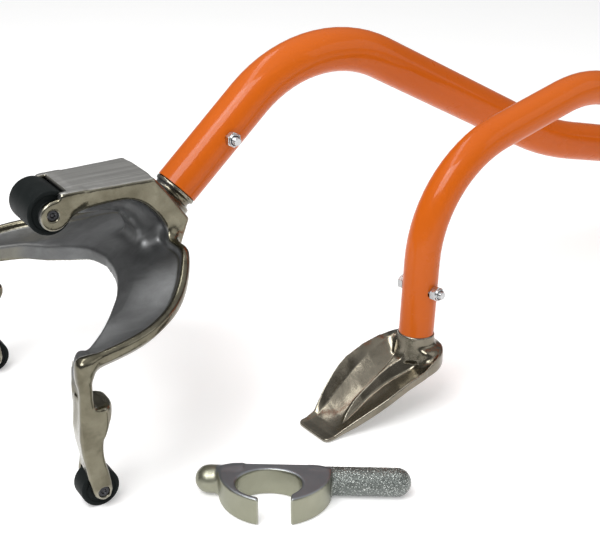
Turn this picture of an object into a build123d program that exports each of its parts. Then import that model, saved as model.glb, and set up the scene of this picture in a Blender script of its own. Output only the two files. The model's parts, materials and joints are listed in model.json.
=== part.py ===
from build123d import *
import os
from math import atan2, cos, degrees, radians, sin, tan

# Manual tyre changer for tubeless truck wheels: three hand tools that lie together on one floor.
#   1. demounting lever: a bent tube with a three-roller claw casting bolted in its end
#   2. mounting lever: a bent tube with a spoon casting bolted in its end
#   3. rim clamp: a one-piece forged jaw with a stub and a handle
# Millimetres, +Z up, the floor at Z = 0, the origin under the middle of the whole set.

os.makedirs("parts", exist_ok=True)

# ---------------------------------------------------------------- where the tools lie
claw_x = -676.734             # point of the floor below the claw's lower axles
claw_y = 61.296
spoon_x = claw_x + 217.0      # middle of the spoon's lip
spoon_y = claw_y - 144.0
spoon_heading = 4.0           # degrees, turned about +Z
clamp_x = claw_x + 134.5      # middle of the clamp's ring
clamp_y = claw_y - 211.5
clamp_heading = -33.5

# ---------------------------------------------------------------- demounting lever: tube
bar_od = 42.4                 # 1 1/4 inch pipe
bar_wall = 3.2
bar_id = bar_od - 2 * bar_wall
bar_end = (153.2, 212.8)      # centre of the tube's lower end, side view (X, Z)
bar_rise = 43.0               # degrees, first straight
bar_fall = -28.0              # second straight
bar_tail = -13.0              # third straight, down to the floor
bar_corner_x = 299.9          # where the first two straights would meet
bar_second_x = 612.0          # where the last two would meet
bar_bend_r = 130.0
bar_ease_r = 300.0
bar_cap_wall = 2.3
bar_cap_len = 55.0
bar_cap_end = 5.0
cap_edge_r = 4.0
cap_play = 0.05

# ---------------------------------------------------------------- claw casting
top_axle = (20.0, 221.0)      # side view (X, Z)
top_roller_r = 20.5
top_roller_len = 48.0
low_axle_z = 17.0
low_roller_r = 17.0
low_roller_len = 20.0
axle_d = 10.0
axle_recess = 2.0             # the pins stop this far below the ears' faces
bush_od = 14.0
bush_bore = axle_d + 0.1
side_gap = 0.6                # each side of a roller
roller_relief = 1.6           # casting clear of the rollers
roller_edge_r = 1.6
top_ear_t = 7.6
low_ear_t = 7.4
claw_half = 157.0             # outer faces of the legs
leg_depth = 2 * low_ear_t + low_roller_len + 2 * side_gap
leg_top_depth = 46.0          # where the leg leaves the horseshoe
arm_top = 239.0
arm_back_half = 35.8
arm_front_x = 36.0
shoe_x = -17.6                # centre of the horseshoe's outer edge
shoe_z = 138.0
shoe_tilt = degrees(atan2(0.145, 1.0))
shoe_r = 166.0
shoe_t = 9.0
shoe_inner_r = 123.0
shoe_inner_shift = -27.4
rim_w = 9.0
rim_h = 12.0
rim_rise = 4.5                # rim's crest above the plate
rim_corner_r = 60.0           # where the rim straightens beside the legs
collar_od = 41.0
collar_len = 8.0
shank_len = 100.0
shank_play = 0.1
bolt_along = 66.0             # bolt's distance from the tube's end

# ---------------------------------------------------------------- M8 hardware
bolt_d = 8.0
bolt_hole = 8.4
bolt_head_af = 13.0
bolt_head_h = 5.3
nut_h = 8.0
nut_hex_h = 5.6
nut_collar_d = 11.6
ring_d = 9.8                  # nylon ring in the nut's collar
ring_h = 1.8
claw_bolt_len = 55.0
spoon_bolt_len = 45.0

# ---------------------------------------------------------------- mounting lever
tube_od = 33.7                # 1 inch pipe
tube_id = tube_od - 2 * bar_wall
tube_end = (121.0, 72.0)      # lower end, side view (along, Z)
tube_rise = 87.0
tube_second = 14.0
tube_tail = -18.0
tube_first_len = 162.0         # lower end to where the first two straights would meet
tube_second_along = 331.0
tube_bend_r = 120.0
spoon_bolt_along = 45.5
spoon_bolt_turn = 10.0        # degrees, the bolt is turned about the tube

# ---------------------------------------------------------------- rim clamp
ring_r = 49.5
ring_back = 8.0               # flat back of the ring, from the ring's middle
ring_height = 26.0
ring_corner_r = 14.0
jaw_rx = 28.0
jaw_ry = 21.0
jaw_centre = (-4.5, -22.0)
jaw_gap = (-12.0, 15.0)       # the two faces of the jaw's opening
handle_r = 12.5
handle_axis = 2.5             # distance behind the ring's middle
handle_root = 33.0            # where the bars' inner domes end, inside the ring
stub_end = -69.5
handle_end = 117.0


def along(point, angle, distance):
    """The point a distance along a direction in a side view."""
    a = radians(angle)
    return (point[0] + distance * cos(a), point[1] + distance * sin(a))


def meet(point, angle, x):
    """The point at x on a straight line in a side view."""
    return (x, point[1] + (x - point[0]) * tan(radians(angle)))


def tip_height(radius, edge, fall):
    """Height of a cap's end centre when its rounded rim just rests on the floor."""
    a = radians(-fall)
    return (radius - edge) * cos(a) + edge - edge * sin(a)


def side_plane(x, y, heading):
    """Upright plane whose local x runs along the heading and whose local y is up."""
    a = radians(heading)
    return Plane(origin=(x, y, 0), x_dir=(cos(a), sin(a), 0), z_dir=(sin(a), -cos(a), 0))


def tube_plane(side, point, angle):
    """Plane across a tube at a side-view point, its normal along the angle."""
    a = radians(angle)
    return Plane(
        origin=side.from_local_coords(Vector(point[0], point[1], 0)),
        x_dir=side.z_dir,
        z_dir=side.x_dir * cos(a) + side.y_dir * sin(a),
    )


def axle_plane(side, point, offset=0.0):
    """Plane of the side view moved out along the axles, its origin on the axle."""
    return Plane(
        origin=side.from_local_coords(Vector(point[0], point[1], offset)),
        x_dir=side.x_dir,
        z_dir=side.z_dir,
    )


claw_side = side_plane(claw_x, claw_y, 0.0)
spoon_side = side_plane(spoon_x, spoon_y, spoon_heading)
clamp_floor = Plane(
    origin=(clamp_x, clamp_y, 0),
    x_dir=(cos(radians(clamp_heading)), sin(radians(clamp_heading)), 0),
    z_dir=(0, 0, 1),
)

# The two tubes' routes in their side views.
bar_corner = meet(bar_end, bar_rise, bar_corner_x)
bar_second = meet(bar_corner, bar_fall, bar_second_x)
bar_tip_z = tip_height(bar_od / 2 + bar_cap_wall, cap_edge_r, bar_tail)
bar_length = (bar_second[1] - bar_tip_z) / sin(radians(-bar_tail))
bar_tip = along(bar_second, bar_tail, bar_length)
bar_stop = along(bar_tip, bar_tail, -bar_cap_end)

tube_corner = along(tube_end, tube_rise, tube_first_len)
tube_second_pt = meet(tube_corner, tube_second, tube_second_along)
tube_tip_z = tip_height(tube_od / 2 + bar_cap_wall, cap_edge_r, tube_tail)
tube_length = (tube_second_pt[1] - tube_tip_z) / sin(radians(-tube_tail))
tube_tip = along(tube_second_pt, tube_tail, tube_length)
tube_stop = along(tube_tip, tube_tail, -bar_cap_end)

claw_bolt = axle_plane(claw_side, along(bar_end, bar_rise, bolt_along))
spoon_bolt = axle_plane(spoon_side, along(tube_end, tube_rise, spoon_bolt_along)).rotated((0, spoon_bolt_turn, 0))


# ================================================================ pieces that repeat
def save(part, name):
    """Labels a finished piece and writes its file."""
    part.label = name
    export_step(part, "parts/" + name + ".step")


def end_cap(plane, outer_d):
    """Plastic cup over a tube's end; the plane's origin is the tube's end centre."""
    with BuildPart() as cap:
        with BuildSketch(plane.offset(-bar_cap_len)):
            Circle(outer_d / 2 + bar_cap_wall)
        extrude(amount=bar_cap_len + bar_cap_end)
        fillet(cap.edges().filter_by(GeomType.CIRCLE).sort_by(Axis(plane.origin, plane.z_dir))[-1], cap_edge_r)
        with BuildSketch(plane.offset(-bar_cap_len)):
            Circle(outer_d / 2 + cap_play)
        extrude(amount=bar_cap_len, mode=Mode.SUBTRACT)
    return cap.part


def hex_bolt(plane, tube_d, length):
    """Hex bolt through a tube; the plane lies across the bolt on the tube's axis."""
    with BuildPart() as bolt:
        with BuildSketch(plane.offset(-tube_d / 2)):
            Circle(bolt_d / 2)
        extrude(amount=length)
        with BuildSketch(plane.offset(-tube_d / 2)):
            RegularPolygon(bolt_head_af / 2, 6, major_radius=False)
        extrude(amount=-bolt_head_h)
        chamfer(bolt.faces().sort_by(Axis(plane.origin, plane.z_dir))[-1].edges(), 0.8)
    return bolt.part


def lock_nut(plane, tube_d):
    """Nylon-insert nut on the near side: hexagon and a round collar."""
    with BuildPart() as nut:
        with BuildSketch(plane.offset(tube_d / 2)):
            RegularPolygon(bolt_head_af / 2, 6, major_radius=False)
        extrude(amount=nut_hex_h)
        with BuildSketch(plane.offset(tube_d / 2)):
            Circle(nut_collar_d / 2)
        extrude(amount=nut_h)
        with BuildSketch(plane.offset(tube_d / 2)):
            Circle(bolt_d / 2)
        extrude(amount=nut_h, mode=Mode.SUBTRACT)
        with BuildSketch(plane.offset(tube_d / 2 + nut_h)):
            Circle(ring_d / 2)
        extrude(amount=-ring_h, mode=Mode.SUBTRACT)
    return nut.part


def nut_ring(plane, tube_d):
    """The nylon ring that sits in the nut's collar."""
    with BuildPart() as ring:
        with BuildSketch(plane.offset(tube_d / 2 + nut_h)):
            Circle(ring_d / 2)
            Circle(bolt_d / 2, mode=Mode.SUBTRACT)
        extrude(amount=-ring_h)
    return ring.part


def roller(side, at, mid, radius, length):
    """Rubber roller around a bush; mid is its middle along the axle."""
    with BuildPart() as tyre:
        with BuildSketch(axle_plane(side, at, mid - length / 2)):
            Circle(radius)
        extrude(amount=length)
        fillet(tyre.edges().filter_by(GeomType.CIRCLE), roller_edge_r)
        with BuildSketch(axle_plane(side, at, mid - length / 2)):
            Circle(bush_od / 2)
        extrude(amount=length, mode=Mode.SUBTRACT)
    return tyre.part


def bush(side, at, mid, length):
    """Turned sleeve inside a roller."""
    with BuildPart() as sleeve:
        with BuildSketch(axle_plane(side, at, mid - length / 2)):
            Circle(bush_od / 2)
            Circle(bush_bore / 2, mode=Mode.SUBTRACT)
        extrude(amount=length)
    return sleeve.part


def axle(side, at, mid, length):
    """Plain pin with chamfered ends."""
    with BuildPart() as pin:
        with BuildSketch(axle_plane(side, at, mid - length / 2)):
            Circle(axle_d / 2)
        extrude(amount=length)
        chamfer(pin.edges(), 0.6)
    return pin.part


# ================================================================ demounting lever
with BuildPart() as demount_tube:
    with BuildLine(claw_side) as bar_path:
        FilletPolyline(bar_end, bar_corner, bar_second, bar_stop, radius=[bar_bend_r, bar_ease_r])
    with BuildSketch(tube_plane(claw_side, bar_end, bar_rise)):
        Circle(bar_od / 2)
        Circle(bar_id / 2, mode=Mode.SUBTRACT)
    sweep(path=bar_path.line)
    with BuildSketch(claw_bolt):
        Circle(bolt_hole / 2)
    extrude(amount=bar_od, both=True, mode=Mode.SUBTRACT)
save(demount_tube.part, "demount_tube")


save(end_cap(tube_plane(claw_side, bar_stop, bar_tail), bar_od), "demount_end_cap")
save(hex_bolt(claw_bolt, bar_od, claw_bolt_len), "claw_bolt")
save(lock_nut(claw_bolt, bar_od), "claw_nut")
save(nut_ring(claw_bolt, bar_od), "claw_nut_ring")

# ---------------------------------------------------------------- claw casting
slot_half = top_roller_len / 2 + side_gap
arm_front_half = slot_half + top_ear_t
leg_mid = claw_half - leg_depth / 2
low_axle = (0.0, low_axle_z)
neck = tube_plane(claw_side, bar_end, bar_rise)
shoe = Plane(
    origin=(claw_x + shoe_x, claw_y, shoe_z),
    x_dir=(cos(radians(shoe_tilt)), 0, sin(radians(shoe_tilt))),
    z_dir=(-sin(radians(shoe_tilt)), 0, cos(radians(shoe_tilt))),
)

# Leg sections seen from above: height, then x and inset from the leg's outer face.
leg_sections = [
    (143.0, [(-14, 0), (-3, 0), (6, 14), (6, leg_top_depth), (-5, leg_top_depth)]),
    (112.0, [(-14, 0), (-4, 0), (5, 12), (6, 44), (-5, 44)]),
    (78.0, [(-18, 0), (6, 0), (9, 8), (9, 40), (-7, 40)]),
    (44.0, [(-15, 0), (4, 0), (8, 6), (8, leg_depth), (-8, leg_depth)]),
]

with BuildPart() as claw_casting:
    # Arm and web, one side profile.
    with BuildSketch(claw_side):
        with BuildLine():
            Polyline((36, arm_top), (116, arm_top), (156, 191), (150, 178), (146, 160), (127, 157))
            Spline((127, 157), (125, 186), (110, 207.5), (92, 222), (72, 228), (36, 228))
            Line((36, 228), (36, arm_top))
        make_face()
    extrude(amount=arm_back_half, both=True)
    # Its width tapers from the neck to the ears.
    with BuildSketch(Plane(origin=(claw_x, claw_y, 0))):
        Polygon(
            (arm_front_x, arm_front_half),
            (160, arm_back_half + 2),
            (160, -arm_back_half - 2),
            (arm_front_x, -arm_front_half),
            align=None,
        )
    extrude(amount=arm_top + 10, mode=Mode.INTERSECT)
    # Ears that carry the top axle.
    for face in (slot_half, -arm_front_half):
        with BuildSketch(axle_plane(claw_side, (0, 0), face)):
            with Locations(top_axle):
                Circle(13.5)
            Polygon((52, arm_top), (36, arm_top), (21, 234.4), (16, 208.2), (36, 216), (52, 228), align=None)
        extrude(amount=top_ear_t)
    # Horseshoe plate with its raised rim.
    with BuildSketch(shoe):
        Circle(shoe_r - rim_w / 2)
        Rectangle(3 * shoe_r, 2 * claw_half - rim_w, mode=Mode.INTERSECT)
        with Locations((shoe_inner_shift, 0)):
            Circle(shoe_inner_r, mode=Mode.SUBTRACT)
        with Locations((-shoe_r, 0)):
            Rectangle(2 * shoe_r + 8, 3 * shoe_r, mode=Mode.SUBTRACT)
    extrude(amount=-shoe_t)
    with BuildSketch(shoe.offset(rim_rise)) as rim_plan:
        Circle(shoe_r)
        Rectangle(3 * shoe_r, 2 * claw_half, mode=Mode.INTERSECT)
        fillet(rim_plan.vertices(), rim_corner_r)
        offset(amount=-rim_w, mode=Mode.SUBTRACT)
        with Locations((-shoe_r, 0)):
            Rectangle(2 * shoe_r + 8, 3 * shoe_r, mode=Mode.SUBTRACT)
    extrude(amount=-rim_h)
    # Near leg, with its hook shelf and its two ears.
    for upper, lower in zip(leg_sections[:-1], leg_sections[1:]):
        for height, outline in (upper, lower):
            with BuildSketch(Plane(origin=(claw_x, claw_y - claw_half, height))):
                Polygon(*outline, align=None)
        loft(ruled=True)
    with BuildSketch(axle_plane(claw_side, (0, 0), claw_half - 2)):
        Polygon((-4, 97), (9, 96.5), (13, 94), (14, 90), (12, 84), (8, 76), (-4, 72), align=None)
    extrude(amount=-leg_depth + 6)
    for face, low_x in ((claw_half, -17), (claw_half - leg_depth + low_ear_t, -8)):
        with BuildSketch(axle_plane(claw_side, (0, 0), face)):
            with Locations(low_axle):
                Circle(9.0)
            Polygon((low_x, 50), (6, 50), (9, low_axle_z), (-9, low_axle_z), align=None)
        extrude(amount=-low_ear_t)
    with BuildSketch(axle_plane(claw_side, low_axle, claw_half)):
        Circle(axle_d / 2)
    extrude(amount=-leg_depth, mode=Mode.SUBTRACT)
    # Everything below the horseshoe is the same on the far side.
    mirror(about=claw_side)
    # Room for the top roller, and its axle's holes.
    with BuildSketch(axle_plane(claw_side, top_axle, slot_half)):
        Circle(top_roller_r + roller_relief)
    extrude(amount=-2 * slot_half, mode=Mode.SUBTRACT)
    with BuildSketch(axle_plane(claw_side, top_axle, arm_front_half)):
        Circle(axle_d / 2)
    extrude(amount=-2 * arm_front_half, mode=Mode.SUBTRACT)
    # Neck: a collar against the tube's end and a shank inside it.
    with BuildSketch(neck):
        Circle(collar_od / 2)
    extrude(amount=-collar_len - 14)
    with BuildSketch(neck):
        Circle(bar_id / 2 - shank_play)
    extrude(amount=shank_len)
    with BuildSketch(claw_bolt):
        Circle(bolt_hole / 2)
    extrude(amount=bar_od, both=True, mode=Mode.SUBTRACT)
save(claw_casting.part, "claw_casting")


# ---------------------------------------------------------------- rollers
roller_sets = [
    ("top", top_axle, 0.0, top_roller_r, top_roller_len, 2 * arm_front_half),
    ("near", low_axle, leg_mid, low_roller_r, low_roller_len, leg_depth),
    ("far", low_axle, -leg_mid, low_roller_r, low_roller_len, leg_depth),
]
for name, at, mid, radius, length, across in roller_sets:
    save(roller(claw_side, at, mid, radius, length), name + "_roller")
    save(bush(claw_side, at, mid, length), name + "_roller_bush")
    save(axle(claw_side, at, mid, across - 2 * axle_recess), name + "_roller_axle")

# ================================================================ mounting lever
with BuildPart() as mount_tube:
    with BuildLine(spoon_side) as tube_path:
        FilletPolyline(tube_end, tube_corner, tube_second_pt, tube_stop, radius=[tube_bend_r, tube_bend_r])
    with BuildSketch(tube_plane(spoon_side, tube_end, tube_rise)):
        Circle(tube_od / 2)
        Circle(tube_id / 2, mode=Mode.SUBTRACT)
    sweep(path=tube_path.line)
    with BuildSketch(spoon_bolt):
        Circle(bolt_hole / 2)
    extrude(amount=tube_od, both=True, mode=Mode.SUBTRACT)
save(mount_tube.part, "mount_tube")

save(end_cap(tube_plane(spoon_side, tube_stop, tube_tail), tube_od), "mount_end_cap")
save(hex_bolt(spoon_bolt, tube_od, spoon_bolt_len), "spoon_bolt")
save(lock_nut(spoon_bolt, tube_od), "spoon_nut")
save(nut_ring(spoon_bolt, tube_od), "spoon_nut_ring")

# Spoon stations: along, half width, underside, near wall's top, far wall's top.
spoon_stations = [
    (-4.0, 22.0, 0.0, 3.0, 3.5),
    (16.0, 24.0, 3.0, 9.0, 10.0),
    (30.0, 27.0, 5.0, 17.0, 31.0),
    (43.0, 30.0, 11.0, 23.0, 42.0),
    (62.0, 34.0, 19.0, 32.5, 51.0),
    (84.0, 36.0, 28.0, 42.0, 57.5),
    (104.0, 35.0, 35.0, 47.0, 60.0),
    (124.0, 30.0, 41.0, 57.0, 61.0),
]


def spoon_outline(half, under, near, far):
    """Closed dish section across the spoon: outside first, then the inside back."""
    middle = under + 0.4 * (far - under)
    floor_t = min(5.0, 0.8 * (near - under))
    return [
        (-half, near),
        (-half + 3, under),
        (2, under),
        (half - 4, middle),
        (half, far),
        (half - 4, far),
        (half - 9, middle + floor_t * 0.7),
        (2, under + floor_t),
        (-half + 7, under + floor_t),
        (-half + 4, near),
    ]


def across_plane(distance):
    """Plane across the spoon at a distance from its lip: local x away, local y up."""
    return Plane(
        origin=spoon_side.from_local_coords(Vector(distance, 0, 0)),
        x_dir=-spoon_side.z_dir,
        z_dir=spoon_side.x_dir,
    )


with BuildPart() as spoon_casting:
    for first, second in zip(spoon_stations[:-1], spoon_stations[1:]):
        for distance, half, under, near, far in (first, second):
            with BuildSketch(across_plane(distance)):
                Polygon(*spoon_outline(half, under, near, far), align=None)
        loft(ruled=True)
    # Central rib, rising from the blade to the collar.
    with BuildSketch(spoon_side):
        Polygon((28, 9), (42, 20), (75, 37), (106, 52), (126, 60), (126, 44), (84, 30), (44, 14), align=None)
    extrude(amount=4.0, both=True)
    # Heel block under the tube.
    with BuildSketch(spoon_side):
        Polygon((100, 38), (138, 45), (141, 52), (140, 60), (134, 64), (108, 64), (100, 50), align=None)
    extrude(amount=22.0, both=True)
    # Collar and the shank inside the tube.
    with BuildSketch(tube_plane(spoon_side, tube_end, tube_rise)):
        Circle(tube_od / 2 + 1.0)
    extrude(amount=-14)
    with BuildSketch(tube_plane(spoon_side, tube_end, tube_rise)):
        Circle(tube_id / 2 - shank_play)
    extrude(amount=0.75 * shank_len)
    with BuildSketch(spoon_bolt):
        Circle(bolt_hole / 2)
    extrude(amount=tube_od, both=True, mode=Mode.SUBTRACT)
save(spoon_casting.part, "spoon_casting")

# ================================================================ rim clamp
with BuildPart() as rim_clamp:
    with BuildSketch(clamp_floor) as ring_plan:
        Circle(ring_r)
        with Locations((0, ring_back + ring_r)):
            Rectangle(4 * ring_r, 2 * ring_r, mode=Mode.SUBTRACT)
        fillet(ring_plan.vertices(), ring_corner_r)
        with Locations(jaw_centre):
            Ellipse(jaw_rx, jaw_ry, mode=Mode.SUBTRACT)
        with Locations((sum(jaw_gap) / 2, -ring_r)):
            Rectangle(jaw_gap[1] - jaw_gap[0], 2 * (ring_r + jaw_centre[1]), mode=Mode.SUBTRACT)
    extrude(amount=ring_height)
    # Stub and handle: round bars with domed ends, run into the ring's two sides.
    for outer, inner in ((stub_end, -handle_root), (handle_end, handle_root)):
        middle = clamp_floor.from_local_coords(Vector((outer + inner) / 2, handle_axis, handle_r))
        with BuildSketch(Plane(origin=middle, x_dir=clamp_floor.x_dir, z_dir=clamp_floor.y_dir)):
            SlotOverall(abs(outer - inner), 2 * handle_r)
            with Locations((0, -handle_r)):
                Rectangle(abs(outer - inner), 2 * handle_r, mode=Mode.SUBTRACT)
        revolve(axis=Axis(middle, clamp_floor.x_dir))
save(rim_clamp.part, "rim_clamp")
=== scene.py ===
import json
from math import atan2, cos, pi, radians, sin

import bpy
import numpy as np
from mathutils import Matrix, Vector


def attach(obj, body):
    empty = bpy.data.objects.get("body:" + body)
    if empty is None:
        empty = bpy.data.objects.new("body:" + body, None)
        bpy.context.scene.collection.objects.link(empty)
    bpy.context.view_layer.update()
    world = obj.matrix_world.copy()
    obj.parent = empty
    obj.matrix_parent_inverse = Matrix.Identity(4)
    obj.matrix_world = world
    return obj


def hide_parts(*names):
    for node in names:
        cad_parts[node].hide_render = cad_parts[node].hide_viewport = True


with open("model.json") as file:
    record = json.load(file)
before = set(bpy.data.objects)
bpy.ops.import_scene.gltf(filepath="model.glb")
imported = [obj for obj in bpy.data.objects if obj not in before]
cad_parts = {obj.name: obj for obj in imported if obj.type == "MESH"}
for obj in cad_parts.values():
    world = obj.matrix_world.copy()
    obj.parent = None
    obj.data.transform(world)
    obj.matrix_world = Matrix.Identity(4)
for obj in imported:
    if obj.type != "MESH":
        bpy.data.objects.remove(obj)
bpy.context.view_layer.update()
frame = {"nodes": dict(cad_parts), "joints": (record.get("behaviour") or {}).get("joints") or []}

# Looks of a manual truck tyre changer: a roller claw on a bent bar, a spoon on a bent bar, and a
# rim clamp. Castings are built as distance fields in millimetres, in each tool's own upright frame
# (X along the tool, Y away from the camera's side, Z up), then turned into meshes in metres.
MM = 0.001

# ================================================================ where the tools are
joints = {joint["name"]: joint for joint in frame["joints"]}
near_axle = joints["near_roller_spin"]["pos_m"]
far_axle = joints["far_roller_spin"]["pos_m"]
claw_origin = Vector((near_axle[0], (near_axle[1] + far_axle[1]) / 2, 0.0))
claw_frame = Matrix.Translation(claw_origin)


def beside_claw(offset, heading):
    """Frame of a tool that lies beside the claw, turned about the vertical."""
    return Matrix.Translation(claw_origin + Vector(offset)) @ Matrix.Rotation(radians(heading), 4, "Z")


spoon_frame = beside_claw((0.217, -0.144, 0), 4)
clamp_frame = beside_claw((0.1345, -0.2115, 0), -33.5)

bar_od = 42.4
bar_end = (153.2, 212.8)
bar_rise = 43.0
claw_bolt_along = 66.0
tube_od = 33.7
tube_end = (121.0, 72.0)
tube_rise = 87.0
spoon_bolt_along = 45.5
pipe_wall = 3.2
top_axle = (20.0, 221.0)
low_axle = (0.0, 17.0)
axle_r = 5.0
top_roller_r = 20.5
top_roller_len = 48.0
low_roller_r = 17.0
low_roller_len = 20.0
roller_relief = 1.6             # casting clear of the rollers
side_gap = 0.6                  # between a roller's end and its ear
top_ear = 7.6
low_ear = 7.4
axle_inset = 2.0
claw_half = 157.0
leg_mid = (far_axle[1] - near_axle[1]) / 2 / MM
spoon_bolt_turn = 10.0          # about the tube's axis


# ================================================================ distance fields
def smooth_min(a, b, k):
    """Union with a fillet about k wide."""
    h = np.clip(0.5 + 0.5 * (b - a) / k, 0, 1)
    return b * (1 - h) + a * h - k * h * (1 - h)


def smooth_max(a, b, k):
    """Intersection with its edge rounded about k wide."""
    return -smooth_min(-a, -b, k)


def step_up(value, start, end):
    """0 below start, 1 above end, smooth between."""
    t = np.clip((value - start) / (end - start), 0, 1)
    return t * t * (3 - 2 * t)


def outline(x, y, points):
    """Signed distance to a closed outline, negative inside."""
    nearest = np.full(np.broadcast(x, y).shape, 1e9, dtype=np.float32)
    inside = np.zeros(nearest.shape, dtype=bool)
    for (ax, ay), (bx, by) in zip(points, points[1:] + points[:1]):
        ex, ey = bx - ax, by - ay
        t = np.clip(((x - ax) * ex + (y - ay) * ey) / (ex * ex + ey * ey), 0, 1)
        nearest = np.minimum(nearest, (x - ax - t * ex) ** 2 + (y - ay - t * ey) ** 2)
        crosses = (ay > y) != (by > y)
        inside ^= crosses & (x < (y - ay) * ex / (ey if ey else 1e-9) + ax)
    return np.where(inside, -1, 1) * np.sqrt(nearest)


def curve_through(points, steps=6):
    """Catmull-Rom curve through given points, its ends included."""
    p = np.array([points[0], *points, points[-1]], dtype=float)
    out = []
    for i in range(1, len(p) - 2):
        for j in range(steps):
            t = j / steps
            a = 2 * p[i]
            b = p[i + 1] - p[i - 1]
            c = 2 * p[i - 1] - 5 * p[i] + 4 * p[i + 1] - p[i + 2]
            d = -p[i - 1] + 3 * p[i] - 3 * p[i + 1] + p[i + 2]
            out.append(tuple(0.5 * (a + b * t + c * t * t + d * t**3)))
    return out + [tuple(points[-1])]


def capped(across, along, start, end, k):
    """A round or flat section limited between two stations along its axis."""
    return smooth_max(across, np.maximum(start - along, along - end), k)


def grid(low, high, step):
    """Sample places of a box as three broadcasting arrays."""
    counts = [int(np.ceil((h - l) / step)) + 1 for l, h in zip(low, high)]
    axes = [l + step * np.arange(n, dtype=np.float32) for l, n in zip(low, counts)]
    return axes[0][:, None, None], axes[1][None, :, None], axes[2][None, None, :]


CORNERS = [(i, j, k) for i in (0, 1) for j in (0, 1) for k in (0, 1)]
EDGES = [(a, b) for a in CORNERS for b in CORNERS if a < b and sum(p != q for p, q in zip(a, b)) == 1]


def surface(field, low, step):
    """Quad mesh of a field's zero level, one point per crossed cell."""
    inside = field < 0
    n = [s - 1 for s in field.shape]
    filled = np.zeros(n, dtype=np.uint8)
    for i, j, k in CORNERS:
        filled += inside[i : i + n[0], j : j + n[1], k : k + n[2]]
    crossed = (filled > 0) & (filled < 8)
    cells = np.argwhere(crossed)
    number = np.full(n, -1, dtype=np.int64)
    number[crossed] = np.arange(len(cells))
    total = np.zeros((len(cells), 3))
    count = np.zeros(len(cells))
    for a, b in EDGES:
        fa = field[tuple((cells + a).T)]
        fb = field[tuple((cells + b).T)]
        hit = (fa < 0) != (fb < 0)
        t = np.where(hit, fa / np.where(hit, fa - fb, 1), 0)[:, None]
        total += np.where(hit[:, None], np.array(a) + t * (np.array(b) - np.array(a)), 0)
        count += hit
    points = (cells + total / count[:, None]) * step + np.array(low)
    quads = []
    for axis in range(3):
        one, two = [i for i in range(3) if i != axis]
        ahead = np.take(inside, range(1, inside.shape[axis]), axis)
        behind = np.take(inside, range(inside.shape[axis] - 1), axis)
        edges = np.argwhere(ahead != behind)
        edges = edges[(edges[:, one] > 0) & (edges[:, two] > 0)]
        ring = []
        for back_one, back_two in ((0, 0), (1, 0), (1, 1), (0, 1)):
            cell = edges.copy()
            cell[:, one] -= back_one
            cell[:, two] -= back_two
            ring.append(number[tuple(cell.T)])
        quad = np.stack(ring, axis=1)
        outward = behind[tuple(edges.T)] == (axis != 1)
        quad[~outward] = quad[~outward][:, ::-1]
        quads.append(quad)
    return points, np.concatenate(quads)


def relax(points, quads, rounds):
    """Evens a mesh without shrinking it."""
    pairs = np.concatenate([quads[:, [i, (i + 1) % 4]] for i in range(4)])
    pairs = np.concatenate([pairs, pairs[:, ::-1]])
    weight = np.bincount(pairs[:, 0], minlength=len(points))[:, None]
    for turn in range(2 * rounds):
        pull = 0.5 if turn % 2 == 0 else -0.52
        mean = np.stack(
            [np.bincount(pairs[:, 0], points[pairs[:, 1], i], len(points)) for i in range(3)], axis=1
        )
        points = points + pull * (mean / weight - points)
    return points


# ================================================================ mesh pieces
def add_piece(name, points, faces, material, body, slot, replaces=(), place=Matrix.Identity(4)):
    """A smooth-shaded mesh piece, from millimetre points in a tool's frame."""
    mesh = bpy.data.meshes.new(name)
    mesh.from_pydata((np.asarray(points) * MM).tolist(), [], np.asarray(faces).tolist())
    mesh.transform(place)
    mesh.shade_smooth()
    mesh.materials.append(material)
    piece = bpy.data.objects.new(name, mesh)
    bpy.context.scene.collection.objects.link(piece)
    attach(piece, body)
    for node in replaces:
        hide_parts(node)
    return piece


def cast(name, field, low, step, rounds, **facts):
    """Makes a piece from a distance field; gives the piece and its points."""
    points, quads = surface(field, low, step)
    points = relax(points, quads, rounds)
    piece = add_piece(name, points, quads, **facts)
    return piece, points


def paint(piece, name, values):
    """Stores one number per point for a material to read."""
    layer = piece.data.attributes.new(name, "FLOAT", "POINT")
    layer.data.foreach_set("value", np.asarray(values, dtype=np.float32))


def normals(piece):
    """The mesh's normal at each point."""
    out = np.empty(3 * len(piece.data.vertices), dtype=np.float32)
    piece.data.vertex_normals.foreach_get("vector", out)
    return out.reshape(-1, 3)


def side_frame(tool_frame, point, angle):
    """Frame on a side-view point: local Z along the angle, local Y across the tool."""
    a = radians(angle)
    turn = Matrix(((sin(a), 0, cos(a)), (0, 1, 0), (-cos(a), 0, sin(a)))).to_4x4()
    return tool_frame @ Matrix.Translation(Vector((point[0], 0.0, point[1])) * MM) @ turn


def cross_frame(tool_frame, point, y=0.0):
    """Frame on a side-view point whose local Z runs along Y, towards the far side."""
    turn = Matrix(((1, 0, 0), (0, 0, 1), (0, -1, 0))).to_4x4()
    return tool_frame @ Matrix.Translation(Vector((point[0], y, point[1])) * MM) @ turn


def lathe(profile, segments=96):
    """Points and faces of a closed profile of (radius, height) pairs turned about local Z."""
    angles = np.linspace(0, 2 * pi, segments, endpoint=False)
    points = []
    for radius, height in profile:
        points += [(radius * cos(a), radius * sin(a), height) for a in angles]
    faces = []
    rows = len(profile)
    for row in range(rows):
        below = row * segments
        above = (row + 1) % rows * segments
        for i in range(segments):
            j = (i + 1) % segments
            faces.append((below + i, below + j, above + j, above + i))
    return points, faces


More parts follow.
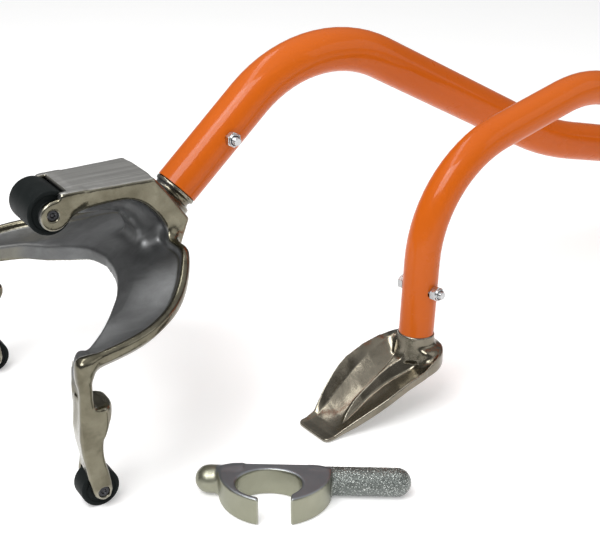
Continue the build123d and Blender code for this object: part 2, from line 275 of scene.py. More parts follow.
def rounded(corners, radius, steps=5):
    """A closed profile with every corner rounded; a corner's own radius may follow it."""
    out = []
    for i, corner in enumerate(corners):
        before = Vector(corners[i - 1][:2])
        here = Vector(corner[:2])
        after = Vector(corners[(i + 1) % len(corners)][:2])
        reach = corner[2] if len(corner) > 2 else radius
        reach = min(reach, (before - here).length / 2.01, (after - here).length / 2.01)
        start = here + (before - here).normalized() * reach
        end = here + (after - here).normalized() * reach
        for j in range(steps + 1):
            t = j / steps
            out.append(tuple((1 - t) ** 2 * start + 2 * t * (1 - t) * here + t * t * end))
    return out


# ================================================================ materials
class Nodes:
    """Short words for building one material's node tree."""

    def __init__(self, name):
        self.material = bpy.data.materials.new(name)
        self.material.use_nodes = True
        self.tree = self.material.node_tree
        self.shader = self.tree.nodes["Principled BSDF"]

    def link(self, source, target):
        self.tree.links.new(source, target)

    def add(self, kind, **values):
        node = self.tree.nodes.new(kind)
        for key, value in values.items():
            setattr(node, key, value)
        return node

    def place(self, scale=(1, 1, 1)):
        """Object coordinates, scaled."""
        coordinates = self.add("ShaderNodeTexCoord")
        mapping = self.add("ShaderNodeMapping")
        mapping.inputs["Scale"].default_value = scale
        self.link(coordinates.outputs["Object"], mapping.inputs["Vector"])
        return mapping.outputs["Vector"]

    def noise(self, scale, detail=4.0, rough=0.5, distortion=0.0, at=None):
        node = self.add("ShaderNodeTexNoise")
        node.inputs["Scale"].default_value = scale
        node.inputs["Detail"].default_value = detail
        node.inputs["Roughness"].default_value = rough
        node.inputs["Distortion"].default_value = distortion
        self.link(at or self.place(), node.inputs["Vector"])
        return node.outputs["Fac"]

    def spots(self, scale):
        node = self.add("ShaderNodeTexVoronoi")
        node.inputs["Scale"].default_value = scale
        self.link(self.place(), node.inputs["Vector"])
        return node.outputs["Distance"]

    def ramp(self, value, *stops):
        """Colour or value along stops of (position, colour or number)."""
        node = self.add("ShaderNodeValToRGB")
        elements = node.color_ramp.elements
        while len(elements) < len(stops):
            elements.new(0.5)
        for element, (position, colour) in zip(elements, stops):
            element.position = position
            tone = (colour,) * 3 if isinstance(colour, (int, float)) else colour
            element.color = (*tone, 1)
        self.link(value, node.inputs["Fac"])
        return node.outputs["Color"]

    def mix(self, factor, first, second):
        node = self.add("ShaderNodeMix", data_type="RGBA")
        for socket, value in ((node.inputs[0], factor), (node.inputs[6], first), (node.inputs[7], second)):
            if isinstance(value, bpy.types.NodeSocket):
                self.link(value, socket)
            elif isinstance(value, (int, float)):
                socket.default_value = value if socket == node.inputs[0] else (value, value, value, 1)
            else:
                socket.default_value = (*value, 1)
        return node.outputs[2]

    def painted(self, name):
        """A piece's own value at each point."""
        node = self.add("ShaderNodeAttribute", attribute_name=name)
        return node.outputs["Fac"]

    def edges(self):
        """1 along outside edges, from the mesh's own curvature."""
        geometry = self.add("ShaderNodeNewGeometry")
        return self.ramp(geometry.outputs["Pointiness"], (0.52, 0.0), (0.62, 1.0))

    def bump(self, height, distance, strength=1.0, under=None):
        node = self.add("ShaderNodeBump")
        node.inputs["Distance"].default_value = distance
        node.inputs["Strength"].default_value = strength
        self.link(height, node.inputs["Height"])
        if under:
            self.link(under, node.inputs["Normal"])
        return node.outputs["Normal"]

    def finish(self, colour, roughness, normal=None, metallic=0.0, **fixed):
        self.link(colour, self.shader.inputs["Base Color"])
        self.link(roughness, self.shader.inputs["Roughness"])
        if normal:
            self.link(normal, self.shader.inputs["Normal"])
        self.shader.inputs["Metallic"].default_value = metallic
        for name, value in fixed.items():
            self.shader.inputs[name.replace("_", " ")].default_value = value
        return self.material


def orange_enamel():
    n = Nodes("orange_enamel")
    drift = n.noise(9, 3)
    dust = n.noise(160, 6, 0.7)
    colour = n.mix(drift, (0.53, 0.098, 0.005), (0.59, 0.118, 0.008))
    colour = n.mix(n.ramp(dust, (0.62, 0.0), (0.80, 0.12)), colour, (0.75, 0.42, 0.25))
    rough = n.mix(n.noise(40, 5, 0.6), 0.22, 0.36)
    peel = n.bump(n.noise(420, 3), 0.00012)
    run = n.bump(n.noise(14, 2), 0.0012, 0.35, under=peel)
    return n.finish(colour, rough, run, Coat_Weight=0.30, Coat_Roughness=0.06, Specular_IOR_Level=0.08)


def cast_nickel(name, dark, light, face, rough_low, rough_high):
    """Nickel plate on a polished casting, with a matt as-cast face and ground streaks."""
    n = Nodes(name)
    cloud = n.noise(30, 5, 0.6, 0.4)
    tone = n.mix(n.ramp(cloud, (0.35, 0.0), (0.68, 1.0)), dark, light)
    stain = n.ramp(n.noise(75, 6, 0.7), (0.56, 0.0), (0.74, 0.5))
    tone = n.mix(stain, tone, tuple(0.6 * c for c in dark))
    matt = n.painted("matt")
    ground = n.painted("ground")
    patches = n.ramp(n.noise(42, 6, 0.65, 0.8), (0.35, 0.0), (0.7, 1.0))
    cool = n.mix(patches, tuple(0.72 * c for c in face), face)
    colour = n.mix(matt, tone, cool)
    streaks = n.noise(60, 4, 0.6, at=n.place((0.10, 9.0, 1.0)))
    grey = n.mix(n.ramp(streaks, (0.3, 0.0), (0.7, 1.0)), (0.42, 0.415, 0.395), (0.64, 0.635, 0.61))
    colour = n.mix(ground, colour, grey)
    colour = n.mix(n.ramp(n.edges(), (0.0, 0.0), (1.0, 0.75)), colour, (0.80, 0.77, 0.68))
    rough = n.mix(cloud, rough_low, rough_high)
    rough = n.mix(matt, rough, n.mix(n.noise(60, 4), 0.38, 0.55))
    rough = n.mix(ground, rough, n.mix(streaks, 0.34, 0.46))
    waves = n.bump(n.noise(26, 3, 0.5), 0.0028, 0.30)
    pits = n.bump(n.noise(300, 4, 0.6), 0.00022, 0.45, under=waves)
    lines = n.bump(n.mix(ground, 0.5, streaks), 0.0005, 0.5, under=pits)
    return n.finish(colour, rough, lines, metallic=1.0)


def zinc_forging():
    """Satin zinc plate; the handle is rough and sparkles."""
    n = Nodes("zinc_forging")
    rough_part = n.painted("rough")
    top = n.painted("top")
    cloud = n.noise(38, 5, 0.6, 0.5)
    side = n.mix(cloud, (0.235, 0.235, 0.175), (0.345, 0.345, 0.27))
    flat = n.mix(n.noise(24, 4, 0.6), (0.20, 0.215, 0.235), (0.30, 0.315, 0.335))
    colour = n.mix(top, side, flat)
    grains = n.spots(620)
    sparkle = n.mix(n.ramp(grains, (0.12, 1.0), (0.42, 0.0)), (0.16, 0.175, 0.165), (0.62, 0.65, 0.62))
    colour = n.mix(rough_part, colour, sparkle)
    colour = n.mix(n.ramp(n.edges(), (0.0, 0.0), (1.0, 0.6)), colour, (0.80, 0.81, 0.77))
    rough = n.mix(rough_part, n.mix(cloud, 0.30, 0.42), 0.24)
    waves = n.bump(n.noise(70, 3), 0.0006, 0.3)
    fine = n.bump(n.noise(520, 4), 0.00014, 0.5, under=waves)
    coarse = n.bump(n.mix(rough_part, 0.5, n.noise(560, 4, 0.7)), 0.0011, 0.9, under=fine)
    return n.finish(colour, rough, coarse, metallic=0.95)


def bright_zinc(name="bright_zinc", dark=(0.44, 0.45, 0.46), light=(0.68, 0.69, 0.70)):
    n = Nodes(name)
    cloud = n.noise(190, 5, 0.6)
    colour = n.mix(cloud, dark, light)
    colour = n.mix(n.ramp(n.edges(), (0.0, 0.0), (1.0, 0.5)), colour, (0.86, 0.87, 0.88))
    rough = n.mix(n.noise(300, 4), 0.16, 0.34)
    return n.finish(colour, rough, n.bump(n.noise(900, 4), 0.00008, 0.5), metallic=1.0)


def dark_rubber():
    n = Nodes("dark_rubber")
    cloud = n.noise(55, 5, 0.6, 0.3)
    colour = n.mix(cloud, (0.005, 0.0065, 0.0065), (0.013, 0.016, 0.016))
    scuffs = n.ramp(n.noise(110, 6, 0.75), (0.58, 0.0), (0.76, 0.35))
    colour = n.mix(scuffs, colour, (0.03, 0.033, 0.032))
    rough = n.mix(n.noise(90, 5), 0.40, 0.60)
    return n.finish(colour, rough, n.bump(n.noise(600, 4), 0.00016, 0.5), Specular_IOR_Level=0.07)


def black_plastic(name="black_plastic", dark=(0.012, 0.012, 0.013), light=(0.028, 0.028, 0.030), rough=0.5):
    n = Nodes(name)
    colour = n.mix(n.noise(80, 4), dark, light)
    grain = n.spots(1400)
    return n.finish(colour, n.mix(n.noise(140, 4), rough - 0.08, rough + 0.08), n.bump(grain, 0.00012, 0.5))


MATERIAL = {
    "orange": orange_enamel(),
    "claw": cast_nickel(
        "claw_nickel", (0.118, 0.107, 0.075), (0.225, 0.210, 0.155), (0.200, 0.204, 0.206), 0.13, 0.27
    ),
    "spoon": cast_nickel(
        "spoon_nickel", (0.165, 0.150, 0.116), (0.245, 0.222, 0.176), (0.30, 0.28, 0.25), 0.17, 0.28
    ),
    "clamp": zinc_forging(),
    "zinc": bright_zinc(),
    "black_steel": bright_zinc("black_steel", (0.02, 0.02, 0.022), (0.07, 0.07, 0.075)),
    "bush": bright_zinc("oiled_steel", (0.14, 0.13, 0.12), (0.30, 0.29, 0.27)),
    "rubber": dark_rubber(),
    "nylon": black_plastic("nylon", (0.010, 0.014, 0.024), (0.020, 0.026, 0.040), 0.3),
    "cap": black_plastic(),
}


# ================================================================ claw casting
shoe_x = -17.6
shoe_r = 166.0
shoe_tilt = 0.2                 # slope of the plane in which the outer edge is a circle
opening_curve = [
    (78, 0), (73.8, 31.8), (61.5, 61.5), (49, 80), (40.5, 92),
    (31, 104), (19, 115.5), (5, 126.5), (-10, 135), (-28, 140),
]
opening = [(78, -60)] + curve_through(opening_curve, 5) + [(-60, 142), (-60, -60)]
rim_half = 4.3


def rim_crest(x, y):
    """Height of the horseshoe's rim: a sloping plane that climbs into the arm's side walls."""
    return 145.0 + 0.145 * x + 16.0 * (1 - step_up(y, 55, 132)) * step_up(x, 45, 115)


def plan_edge(x, y):
    """Distance inside (-) or outside (+) the horseshoe's outer edge, seen from above."""
    circle = np.sqrt(((x - shoe_x) / cos(atan2(shoe_tilt, 1))) ** 2 + y * y) - shoe_r
    return smooth_max(circle + 9.0 * (1 - step_up(y, 34, 70)), y - claw_half, 12)


def claw_field(x, y, z):
    """The far half of the claw; y is the distance from its middle plane."""
    # Horseshoe: a dished plate with a raised bead along its outer edge.
    edge = plan_edge(x, y)
    inner = -outline(x, y, opening)
    crest = rim_crest(x, y)
    across = np.clip((edge + 50) / 50, 0, 1)
    plate_top = crest - 4.5 - 3.0 * np.sin(pi * across)
    thick = 9.0 + 8.0 * (1 - step_up(-inner, 4, 24)) * (1 - step_up(x, 62, 92))
    plate = smooth_max(z - plate_top, plate_top - thick - z, 2.5)
    plate = smooth_max(plate, smooth_max(edge + rim_half, inner, 3), 3)
    plate = smooth_max(plate, -12.5 - x, 8)
    bead_across = np.maximum(abs(edge + rim_half) - 0.8, 0)
    bead_up = np.maximum(abs(z - crest + 5.4) - 1.9, 0)
    bead = smooth_max(np.sqrt(bead_across**2 + bead_up**2) - (rim_half - 0.8), -11.0 - x, 5)
    shoe = smooth_min(plate, bead, 3.5)
    # Leg: a turned, dished plate that thickens downwards.
    leg_side = outline(
        x,
        z,
        [(-30, 141), (-2.5, 141), (-3, 128), (-3, 107)]
        + curve_through([(-1, 96), (3.5, 84), (4.6, 72), (3.0, 58), (3.8, 46), (7.2, 30), (8.6, 18)], 4)
        + [(6.2, 10.8), (0, 8.3), (-6.2, 10.8), (-30, 12)],
    )
    turned = 0.19 * (claw_half - y) * step_up(z, 20, 44)
    left = np.interp(
        z,
        [8, 17, 30, 44, 56, 70, 90, 112, 145],
        [-6, -8.8, -12, -14.6, -16.6, -17.6, -16.2, -14.0, -12.5],
    )
    dish = 3.6 * np.clip(1 - ((y - 132) / 17) ** 2, 0, 1) * step_up(z, 62, 92)
    leg = smooth_max(leg_side, left + turned + dish - x, 4)
    inner_side = np.interp(z, [44, 78, 112, 126, 140], [121, 117, 110, 112, 119])
    leg = smooth_max(leg, smooth_max(y - claw_half, inner_side - y, 2), 5)
    leg = smooth_max(leg, z - crest + 4.5 + 0.2 * np.clip(140 - y, 0, 30), 5)
    rib = np.sqrt((x + 8.8) ** 2 + (y - claw_half + 4.6) ** 2) - 4.7
    leg = smooth_min(leg, capped(rib, z, 88, 141, 5), 3.5)
    # Hook shelf: a rounded nose that stands out of the leg.
    nose_side = outline(
        x, z, [(-8, 97.5), (9, 97), (16.0, 95.8), (18.4, 92), (17.0, 87), (11, 80), (5, 70), (-8, 64)]
    )
    nose_curve = curve_through(
        [(12.0, 153), (15.5, 147), (18.2, 139), (18.6, 131), (16.5, 125), (11, 122), (3, 121)], 4
    )
    nose_plan = outline(x, y, [(-12, 157), (7, 157)] + nose_curve + [(-12, 121)])
    nose = smooth_max(nose_side, nose_plan, 3.5)
    leg = smooth_min(leg, nose, 3.0)
    # Fork for the lower roller.
    fork_reach = np.sqrt((x - low_axle[0]) ** 2 + (z - low_axle[1]) ** 2) - (low_roller_r + roller_relief)
    fork_half = low_roller_len / 2 + side_gap
    fork = np.maximum(fork_reach, np.maximum(leg_mid - fork_half - y, y - (leg_mid + fork_half)))
    leg = smooth_max(leg, -fork, 1.5)
    body = smooth_min(shoe, leg, 11)
    # Arm: flat on top, arched below, running into the neck.
    arch = [
        (133, 170), (127, 186), (119.5, 200), (111.5, 210), (103, 217.5),
        (95, 221.5), (84, 223.3), (62, 222), (46, 219.5), (33, 213),
    ]
    arm_outer = [
        (28, 239), (115.5, 239), (126.5, 225), (143, 202.6), (149.5, 193),
        (145, 182), (138, 171), (132, 160), (128, 158),
    ]
    arm_side = outline(x, z, arm_outer + curve_through(arch, 4))
    arm_half = np.interp(x, [20, 36, 115, 150], [31.6, 32.2, 35.8, 33.5])
    arm_half = arm_half - 1.6 * (1 - step_up(z, 214, 238)) * (1 - step_up(x, 60, 110))
    arm = smooth_max(arm_side, y - arm_half, 3.0)
    boss = np.sqrt((x - 21.4) ** 2 + (z - 219.8) ** 2) - 13.4
    strap = outline(
        x, z, [(17, 230), (33, 238), (50, 238), (50, 229), (46, 226.5), (38, 221), (30, 212), (22, 209)]
    )
    ear = smooth_min(boss, strap, 3)
    ear = smooth_max(ear, smooth_max(y - 32.0, 24.6 - y, 1), 2.6)
    arm = smooth_min(arm, ear, 4)
    roller_room = np.sqrt((x - top_axle[0]) ** 2 + (z - top_axle[1]) ** 2) - (top_roller_r + roller_relief)
    room = np.maximum(np.minimum(roller_room, smooth_max(x - 35.5, 200 - z, 1)), y - 24.6)
    arm = smooth_max(arm, -room, 1.2)
    web_arch = [(106, 172), (103, 186), (96, 198), (87, 206), (77, 209.5), (64, 211), (54, 211.5), (45, 213)]
    web_outer = [(45, 236), (115, 236), (140, 200), (146, 176), (140, 160), (112, 158)]
    web_side = outline(x, z, web_outer + web_arch)
    arm = smooth_min(arm, smooth_max(web_side, y - 21, 10), 8)
    body = smooth_min(body, arm, 15)
    # Neck: the block behind the arm and a stepped collar up to the tube.
    a = radians(bar_rise)
    along = (x - bar_end[0]) * cos(a) + (z - bar_end[1]) * sin(a)
    off = (z - bar_end[1]) * cos(a) - (x - bar_end[0]) * sin(a)
    radius = np.sqrt(off * off + y * y)
    base = capped(radius - 22.6, along, -26, -9.5, 3)
    groove = capped(radius - 18.6, along, -14, -2, 0.5)
    lip = capped(radius - 21.0, along, -4.2, -0.15, 1.2)
    body = smooth_min(body, base, 7)
    body = np.minimum(smooth_min(body, groove, 1.5), lip)
    # Axle holes.
    for (hole_x, hole_z), low, high in ((top_axle, 20, 40), (low_axle, 105, 165)):
        hole = np.sqrt((x - hole_x) ** 2 + (z - hole_z) ** 2) - axle_r
        body = smooth_max(body, -np.maximum(hole, np.maximum(low - y, y - high)), 1.4)
    return body


claw_step = 1.25
claw_low = (-24.0, claw_step / 2, 4.0)
claw_x, claw_y, claw_z = grid(claw_low, (176.0, 170.0, 246.0), claw_step)
half = claw_field(claw_x, claw_y, claw_z).astype(np.float32)
whole = np.concatenate([half[:, ::-1, :], half], axis=1)
whole_low = (claw_low[0], -float(claw_y.max()), claw_low[2])
claw, claw_points = cast(
    "claw_casting_visual",
    whole,
    whole_low,
    claw_step,
    5,
    material=MATERIAL["claw"],
    body="demount_lever",
    slot="nickel_casting",
    replaces=["claw_casting"],
    place=claw_frame,
)

px, py, pz = claw_points[:, 0], abs(claw_points[:, 1]), claw_points[:, 2]
claw_normals = normals(claw)
plate_face = step_up(-plan_edge(px, py), 8.5, 12.0) * step_up(rim_crest(px, py) + 4 - pz, 0, 3)
plate_face *= step_up(pz, 112, 126) * step_up(claw_normals[:, 2], -0.3, 0.3)
under_arch = (
    (1 - step_up(py, 26, 33)) * step_up(228 - pz, 0, 4) * step_up(140 - px, 0, 10) * step_up(px, 38, 44)
)
leg_face = step_up(-claw_normals[:, 0], 0.55, 0.85) * step_up(pz, 96, 118) * step_up(150 - py, 0, 5)
matt = np.clip(np.maximum(np.maximum(plate_face, under_arch), leg_face), 0, 1)
paint(claw, "matt", matt)
paint(claw, "ground", step_up(pz, 236.5, 238.4) * step_up(claw_normals[:, 2], 0.85, 0.97))


shank_gap = 0.1                 # between a shank and the tube's bore


def shank(name, tool_frame, end, rise, pipe, length, body, material):
    """The casting's turned shank inside the tube, with a lead-in at its end."""
    r = (pipe - 2 * pipe_wall) / 2 - shank_gap
    profile = rounded(
        [
            (3.0, -6),
            (r - 2, -6),
            (r - 2, -0.5),
            (r, 1.0),
            (r, length - 3),
            (r - 3, length),
            (3.0, length),
        ],
        0.8,
    )
    points, faces = lathe(profile)
    place = side_frame(tool_frame, end, rise)
    add_piece(name, points, faces, material, body, "nickel_casting", place=place)


shank("claw_shank", claw_frame, bar_end, bar_rise, bar_od, 100, "demount_lever", MATERIAL["claw"])


# ================================================================ spoon casting
spoon_step = 0.8


def spoon_field(s, y, z):
    """s runs from the lip to the heel, y away from the near side."""
    stations = [-4, 6, 16, 30, 42, 52, 62, 84, 104, 125, 140]
    keel = np.interp(s, stations, [0.2, 0.2, 0.8, 3.5, 8, 13, 18, 27, 34, 39, 43])
    half = np.interp(s, stations, [23, 23, 24, 27, 30, 32.5, 34.5, 36, 36, 34, 30])
    near_under = np.interp(s, stations, [0.4, 1.0, 4.0, 8.5, 14, 19, 24, 33.5, 39, 43, 46])
    near_rim = np.interp(s, stations, [3.6, 5.0, 10, 17.5, 23.5, 28.5, 33.5, 43, 48.5, 59, 62])
    far_rim = np.interp(s, stations, [3.8, 5.0, 8.5, 28.5, 39, 45.5, 50, 56, 59, 61, 62])
    far_inner = np.interp(s, stations, [3.4, 3.6, 5.5, 14, 21.5, 27.5, 34, 48, 57, 60, 62])
    floor = keel + np.interp(s, stations, [3.2, 3.4, 4.2, 5.4, 6, 6, 6, 6, 6.5, 9, 12])
    t = np.clip(abs(y) / half, 0, 1.2)
    near_top = floor + (near_rim - floor) * t**2.6
    ledge = 0.75
    inside = floor + (far_inner - floor) * np.clip(t / ledge, 0, 1) ** 1.7
    outside = far_inner + (far_rim - far_inner) * (t - ledge) / (1 - ledge)
    far_top = np.where(t < ledge, inside, outside)
    top = np.where(y < 0, near_top, far_top)
    across = np.gradient(top, axis=1) / spoon_step
    steep = np.sqrt(1 + across**2)
    near_low = keel + (near_under - keel) * t**2
    far_low = np.minimum(keel + (far_rim - 9 - keel) * 0.9 * t**2.3, far_top - 3.0 * steep)
    under = np.maximum(np.where(y < 0, near_low, far_low), 0.1)
    dish = smooth_max((z - top) / steep, (under - z) / steep, 1.0)
    dish = smooth_max(dish, abs(y) - half, 2.0)
    corner = np.sqrt(np.maximum(abs(y) - 16, 0) ** 2 + np.maximum(3.4 - s, 0) ** 2) - 7.4
    dish = np.where(s < 8, smooth_max(dish, corner, 1.2), dish)
    heel_round = (np.sqrt(((s - 106) / 37) ** 2 + (y / 36.5) ** 2) - 1) * 36
    dish = np.where(s > 106, smooth_max(dish, heel_round, 3), dish)
    # Central rib: a narrow ridge that rises and widens towards the collar.
    rib_stations = [22, 31, 42, 52, 75, 86, 106, 128]
    ridge = np.interp(s, rib_stations, [5.0, 13.5, 21, 26.5, 38.5, 44.5, 54, 61])
    middle = np.interp(s, rib_stations, [-12, -7.5, -4, -2, 0, 0, 0, 0])
    flat = np.interp(s, rib_stations, [0.2, 0.4, 0.6, 0.8, 1.2, 2.0, 7.0, 12.0])
    rib = np.maximum(abs(y - middle) - flat, 0) * 1.7 + (z - ridge)
    rib = smooth_max(rib * 0.5, np.maximum(np.maximum(23 - s, s - 126), keel + 2 - z), 1.0)
    body = smooth_min(dish, rib, 1.6)
    # Heel block, collar and the tube's seat.
    a = radians(tube_rise)
    along = (s - tube_end[0]) * cos(a) + (z - tube_end[1]) * sin(a)
    off = (z - tube_end[1]) * cos(a) - (s - tube_end[0]) * sin(a)
    radius = np.sqrt(off * off + y * y)
    heel = np.sqrt((s - 119) ** 2 + (y * 0.9) ** 2) - 23.5
    heel = smooth_max(heel, smooth_max(z - 61.0, 42 - z, 4), 6)
    heel = smooth_max(heel, 111 - s, 6)
    collar = capped(radius - 17.9 - 0.10 * np.clip(-along - 3, 0, 30), along, -24, -0.2, 1.4)
    body = smooth_min(body, heel, 9)
    return smooth_min(body, collar, 4)


spoon_low = (-8.0, -42.0, -2.0)
spoon_axes = grid(spoon_low, (150.0, 42.0, 82.0), spoon_step)
spoon, spoon_points = cast(
    "spoon_casting_visual",
    spoon_field(*spoon_axes).astype(np.float32),
    spoon_low,
    spoon_step,
    6,
    material=MATERIAL["spoon"],
    body="mount_lever",
    slot="nickel_casting",
    replaces=["spoon_casting"],
    place=spoon_frame,
)
for layer_name in ("matt", "ground"):
    paint(spoon, layer_name, np.zeros(len(spoon_points)))
shank("spoon_shank", spoon_frame, tube_end, tube_rise, tube_od, 75, "mount_lever", MATERIAL["spoon"])


# ================================================================ rim clamp
def lumps(x, y, z, size, seed):
    """Smooth repeatable unevenness between about -1 and 1."""
    random = np.random.default_rng(seed)
    total = 0
    for _ in range(14):
        direction = random.normal(size=3)
        direction *= random.uniform(0.7, 1.6) * 2 * pi / size / np.linalg.norm(direction)
        phase = random.uniform(0, 2 * pi)
        total = total + np.sin(direction[0] * x + direction[1] * y + direction[2] * z + phase)
    return total / 5


def clamp_field(x, y, z):
    """An arc-shaped jaw with a rough handle at one end and a short stub at the other."""
    ring = np.sqrt(x * x + y * y) - 49.3
    back = smooth_max(ring, y - 8.0, 20)
    jaw = (np.sqrt(((x + 4.5) / 28) ** 2 + ((y + 22) / 21) ** 2) - 1) * 22
    mouth = np.maximum(abs(x - 1.5) - 13.5, y + 22)
    plan = smooth_max(back, -jaw, 1.4)
    plan = smooth_max(plan, -mouth, 1.6)
    body = smooth_max(plan, abs(z - 13.0) - 12.9, 2.4)
    off = np.sqrt((y - 2.5) ** 2 + (z - 12.6) ** 2)
    handle = np.sqrt(off**2 + np.maximum(x - 104.6, 0) ** 2) - 12.3 + 0.28 * lumps(x, y, z, 3.2, 3)
    handle = np.maximum(handle, 30 - x)
    stub = np.sqrt(off**2 + np.maximum(-57.2 - x, 0) ** 2) - 12.2 + 0.10 * lumps(x, y, z, 9, 5)
    stub = np.maximum(stub, x + 30)
    handle = smooth_max(handle, -jaw + 8, 2)
    stub = smooth_max(stub, -jaw + 8, 2)
    body = smooth_min(body, handle, 3.0)
    return np.maximum(smooth_min(body, stub, 5.0), 0.1 - z)


clamp_step = 0.75
clamp_low = (-76.0, -52.0, -2.0)
clamp, clamp_points = cast(
    "rim_clamp_visual",
    clamp_field(*grid(clamp_low, (121.0, 20.0, 29.0), clamp_step)).astype(np.float32),
    clamp_low,
    clamp_step,
    3,
    material=MATERIAL["clamp"],
    body="rim_clamp",
    slot="zinc_forging",
    replaces=["rim_clamp"],
    place=clamp_frame,
)
ring_distance = np.sqrt(clamp_points[:, 0] ** 2 + clamp_points[:, 1] ** 2)
paint(clamp, "rough", step_up(clamp_points[:, 0], 46, 50))
paint(clamp, "top", step_up(normals(clamp)[:, 2], 0.5, 0.8) * (1 - step_up(ring_distance, 50, 52)))

# ================================================================ rollers, bushes and axles
for name, at, mid, radius, length, ear in (
    ("top", top_axle, 0.0, top_roller_r, top_roller_len, top_ear),
    ("near", low_axle, -leg_mid, low_roller_r, low_roller_len, low_ear),
    ("far", low_axle, leg_mid, low_roller_r, low_roller_len, low_ear),
):
    h = length / 2
    hub = 7.02
    tyre = rounded(
        [
            (hub, -h),
            (hub + 3.2, -h),
            (hub + 4.0, -h + 0.9),
            (radius - 4.5, -h + 0.9),
            (radius - 3.6, -h),
            (radius, -h, 2.2),
            (radius, h, 2.2),
            (radius - 3.6, h),
            (radius - 4.5, h - 0.9),
            (hub + 4.0, h - 0.9),
            (hub + 3.2, h),
            (hub, h),
        ],
        0.5,
    )
    place = cross_frame(claw_frame, at, mid)
    points, faces = lathe(tyre, 128)
    add_piece(name + "_roller_visual", points, faces, MATERIAL["rubber"], name + "_roller", "roller_rubber",
              [name + "_roller"], place)
    sleeve = rounded([(5.06, -h), (7.0, -h), (7.0, h), (5.06, h)], 0.35)
    points, faces = lathe(sleeve)
    add_piece(name + "_bush_visual", points, faces, MATERIAL["bush"], name + "_roller", "bush_steel",
              [name + "_roller_bush"], place)
    reach = h + side_gap + ear - axle_inset
    pin = rounded(
        [(0.02, -reach + 1.2), (1.6, -reach + 1.2), (2.4, -reach), (5.0, -reach, 0.8), (5.0, reach, 0.8),
         (2.4, reach), (1.6, reach - 1.2), (0.02, reach - 1.2)],
        0.3,
    )
    points, faces = lathe(pin, 64)
    add_piece(name + "_axle_visual", points, faces, MATERIAL["black_steel"], "demount_lever", "zinc_steel",
              [name + "_roller_axle"], place)


# ================================================================ bolts and nuts
hex_flats = 13.0
bolt_r = 4.0
bolt_head = 5.3
nut_height = 5.9


def hexagon(x, y, across_flats):
    """Distance to a hexagon's flats."""
    h = across_flats / 2
    return np.maximum(abs(x), abs(x) * 0.5 + abs(y) * (3**0.5 / 2)) - h


def thread(radius, z, angle, pitch=1.25, depth=0.55):
    """A screw thread cut into a rod, as a change of its radius."""
    turn = (z / pitch - angle / (2 * pi)) % 1.0
    return radius + depth * abs(2 * turn - 1)


def bolt_field(x, y, z, grip, length):
    """Local Z from under the head to the bolt's end."""
    radius = np.sqrt(x * x + y * y)
    head = np.maximum(hexagon(x, y, hex_flats), np.maximum(-bolt_head - z, z))
    head = smooth_max(head, (radius - 7.2 - (z + bolt_head) * 1.7) * 0.5, 0.3)
    rod = np.where(z > grip, thread(radius, z, np.arctan2(y, x)) * 0.8 - bolt_r * 0.8, radius - bolt_r)
    rod = np.maximum(rod, (radius - 3.2 - (length - z)) * 0.7)
    rod = np.maximum(rod, np.maximum(-0.5 - z, z - length))
    return smooth_min(head, rod, 0.4)


def nut_field(x, y, z):
    """Nylon-insert nut standing on z = 0."""
    radius = np.sqrt(x * x + y * y)
    body = np.maximum(hexagon(x, y, hex_flats), np.maximum(-z, z - nut_height))
    body = smooth_max(body, (radius - 7.0 - (nut_height - z) * 1.7) * 0.5, 0.3)
    body = smooth_max(body, (radius - 6.9 - z * 1.7) * 0.5, 0.3)
    collar = smooth_max(radius - 5.9, z - 8.0, 1.1)
    body = smooth_min(body, np.maximum(collar, 1 - z), 0.6)
    body = smooth_max(body, 4.02 - radius, 0.3)
    return np.maximum(body, -np.maximum(radius - 4.95, 6.2 - z))


def ring_field(x, y, z):
    """The nylon ring inside the nut's collar."""
    radius = np.sqrt(x * x + y * y)
    wall = smooth_max(4.02 - radius, radius - 4.9, 0.4)
    return smooth_max(wall, smooth_max(6.22 - z, z - 7.8, 0.5), 0.3)


fine = 0.22
for tool, tool_frame, at, rise, pipe, body, length, reach, bolt_turn in (
    ("claw", claw_frame, bar_end, bar_rise, bar_od, "demount_lever", 55.0, claw_bolt_along, 0),
    (
        "spoon", spoon_frame, tube_end, tube_rise, tube_od, "mount_lever", 45.0, spoon_bolt_along,
        spoon_bolt_turn,
    ),
):
    bolt_at = (at[0] + reach * cos(radians(rise)), at[1] + reach * sin(radians(rise)))
    turn = Matrix.Rotation(radians(bolt_turn), 4, "Y")
    across = cross_frame(tool_frame, bolt_at) @ Matrix.Rotation(pi, 4, "X") @ turn
    near_face = across @ Matrix.Translation((0, 0, pipe / 2 * MM))
    far_face = across @ Matrix.Translation((0, 0, -pipe / 2 * MM))
    low = (-8.2, -8.2, -6.0)
    shape = bolt_field(*grid(low, (8.2, 8.2, length + 1.0), fine), pipe * 0.6, length)
    cast(tool + "_bolt_visual", shape, low, fine, 2, material=MATERIAL["zinc"], body=body, slot="zinc_steel",
         replaces=[tool + "_bolt"], place=far_face)
    low = (-8.2, -8.2, -1.0)
    cast(tool + "_nut_visual", nut_field(*grid(low, (8.2, 8.2, 9.0), fine)), low, fine, 2,
         material=MATERIAL["zinc"], body=body, slot="zinc_steel", replaces=[tool + "_nut"], place=near_face)
    low = (-6.0, -6.0, 5.0)
    cast(tool + "_ring_visual", ring_field(*grid(low, (6.0, 6.0, 9.0), fine)), low, fine, 2,
         material=MATERIAL["nylon"], body=body, slot="nylon", replaces=[tool + "_nut_ring"], place=near_face)


# ================================================================ tubes and caps stay as designed
def refinish(node, material):
    """Gives a node that stays as designed its finished material."""
    piece = frame["nodes"][node]
    for slot in piece.material_slots:
        slot.material = material


refinish("demount_tube", MATERIAL["orange"])
refinish("mount_tube", MATERIAL["orange"])
refinish("demount_end_cap", MATERIAL["cap"])
refinish("mount_end_cap", MATERIAL["cap"])


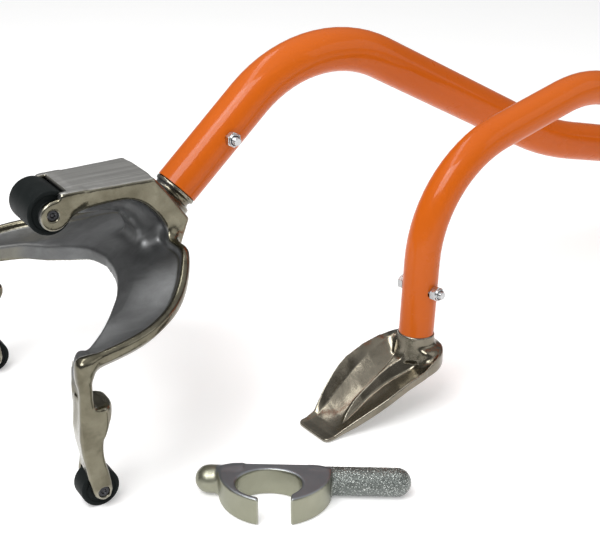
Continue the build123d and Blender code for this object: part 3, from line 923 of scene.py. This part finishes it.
# ================================================================ floor, light and camera
def floor():
    """A pale ground that the tools stand on."""
    n = Nodes("pale_floor")
    colour = n.mix(n.noise(1.2, 5, 0.6), (0.90, 0.90, 0.895), (0.93, 0.93, 0.93))
    material = n.finish(colour, n.mix(n.noise(6, 3), 0.55, 0.65), Specular_IOR_Level=0.25)
    n.shader.inputs["Emission Color"].default_value = (1, 1, 1, 1)
    n.shader.inputs["Emission Strength"].default_value = 0.30
    mesh = bpy.data.meshes.new("floor")
    reach = 9.0
    corners = [(-reach, -reach, 0), (reach, -reach, 0), (reach, reach, 0), (-reach, reach, 0)]
    mesh.from_pydata(corners, [], [(0, 1, 2, 3)])
    mesh.materials.append(material)
    plane = bpy.data.objects.new("floor", mesh)
    bpy.context.scene.collection.objects.link(plane)


def area_light(name, at, target, size, power):
    """A rectangular light aimed at the target."""
    data = bpy.data.lights.new(name, "AREA")
    data.shape = "RECTANGLE"
    data.size, data.size_y = size
    data.energy = power
    light = bpy.data.objects.new(name, data)
    light.location = at
    light.rotation_euler = (Vector(target) - Vector(at)).to_track_quat("-Z", "Y").to_euler()
    bpy.context.scene.collection.objects.link(light)


def sky():
    """Soft studio surround: bright above and low down, darker in between for the metal to show."""
    world = bpy.data.worlds.new("studio")
    world.use_nodes = True
    tree = world.node_tree
    coordinates = tree.nodes.new("ShaderNodeTexCoord")
    split = tree.nodes.new("ShaderNodeSeparateXYZ")
    ramp = tree.nodes.new("ShaderNodeValToRGB")
    stops = [(0.0, 0.85), (0.50, 0.60), (0.56, 0.30), (0.70, 0.22), (0.86, 0.75), (1.0, 1.15)]
    elements = ramp.color_ramp.elements
    while len(elements) < len(stops):
        elements.new(0.5)
    for element, (position, tone) in zip(elements, stops):
        element.position = position
        element.color = (tone, tone, tone, 1)
    half_up = tree.nodes.new("ShaderNodeMath")
    half_up.operation = "MULTIPLY_ADD"
    half_up.inputs[1].default_value = 0.5
    half_up.inputs[2].default_value = 0.5
    tree.links.new(coordinates.outputs["Generated"], split.inputs["Vector"])
    tree.links.new(split.outputs["Z"], half_up.inputs[0])
    tree.links.new(half_up.outputs["Value"], ramp.inputs["Fac"])
    tree.links.new(ramp.outputs["Color"], tree.nodes["Background"].inputs["Color"])
    tree.nodes["Background"].inputs["Strength"].default_value = 0.72
    bpy.context.scene.world = world


floor()
sky()
middle = claw_origin + Vector((0.25, 0, 0.1))
area_light("key", middle + Vector((-1.5, -0.9, 2.1)), middle, (1.6, 1.2), 44)
area_light("strip", middle + Vector((-0.6, 0.4, 1.9)), middle, (2.4, 0.35), 12)
area_light("fill", middle + Vector((1.6, -1.6, 1.2)), middle, (1.8, 1.4), 8)
bpy.context.scene.view_settings.view_transform = "Standard"

camera_offset = Vector((-0.3196, -0.9930, 0.6106))
camera_down = 24                # degrees below level
camera_heading = 31.5           # degrees from the Y axis, towards X
camera_data = bpy.data.cameras.new("camera")
camera_data.lens = 74.4
camera_data.sensor_width = 36
camera = bpy.data.objects.new("camera", camera_data)
camera.location = claw_origin + camera_offset
camera.rotation_euler = (radians(90 - camera_down), 0, -radians(camera_heading))
bpy.context.scene.collection.objects.link(camera)
bpy.context.scene.camera = camera
